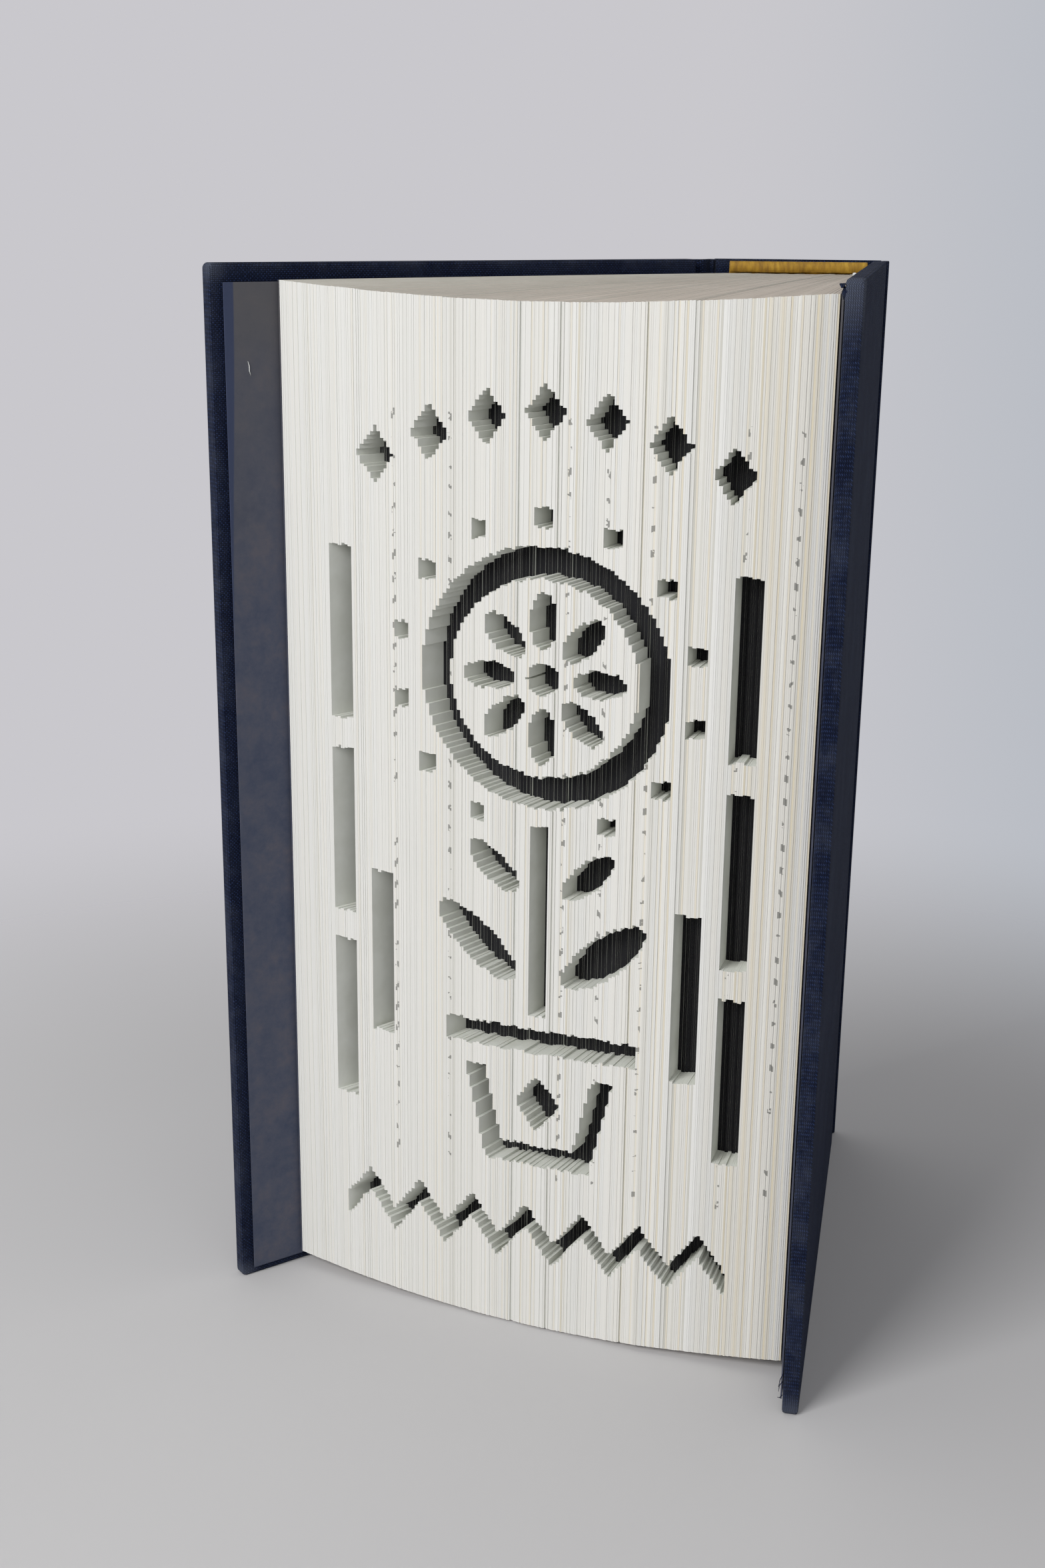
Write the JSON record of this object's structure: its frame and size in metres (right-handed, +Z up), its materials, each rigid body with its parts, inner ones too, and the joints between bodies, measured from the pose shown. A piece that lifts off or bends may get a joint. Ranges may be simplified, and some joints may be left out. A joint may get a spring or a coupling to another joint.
{
  "type": "hardcover book",
  "caption": "Thick cloth-bound hardcover standing on its tail edge with spread covers, fanned pages and a pattern of recesses cut into the fore edge.",
  "frame": {"origin": "on the floor, under the middle of the box of the standing, spread book", "axes": "+Z up from tail to head, +X from the left cover to the right cover, -Y towards the fore edge and the viewer"},
  "size_m": [0.1588, 0.1382, 0.24],
  "materials": {
    "navy_cloth": "matt woven book cloth",
    "slate_endpaper": "matt dyed paper",
    "page_paper": "matt uncoated paper",
    "ochre_band": "matt cloth band",
    "lining_cloth": "open glued gauze"
  },
  "bodies": {
    "block": {"text_block": "page_paper", "left_flyleaf": "slate_endpaper", "right_flyleaf": "slate_endpaper", "spine_lining": "lining_cloth", "spine_strip": "navy_cloth", "headband": "ochre_band", "tailband": "ochre_band"},
    "left_cover": {"left_cover_board": "navy_cloth", "left_pastedown": "slate_endpaper"},
    "right_cover": {"right_cover_board": "navy_cloth", "right_pastedown": "slate_endpaper"}
  },
  "joints": [
    {"name": "left_cover_hinge", "type": "hinge", "parent": "block", "child": "left_cover", "pos_m": [0.03508, 0.06695, 0], "axis": [0, 0, -1], "range_deg": [0, 115]},
    {"name": "right_cover_hinge", "type": "hinge", "parent": "block", "child": "right_cover", "pos_m": [0.07869, 0.06695, 0], "axis": [0, 0, 1], "range_deg": [0, 165]}
  ]
}
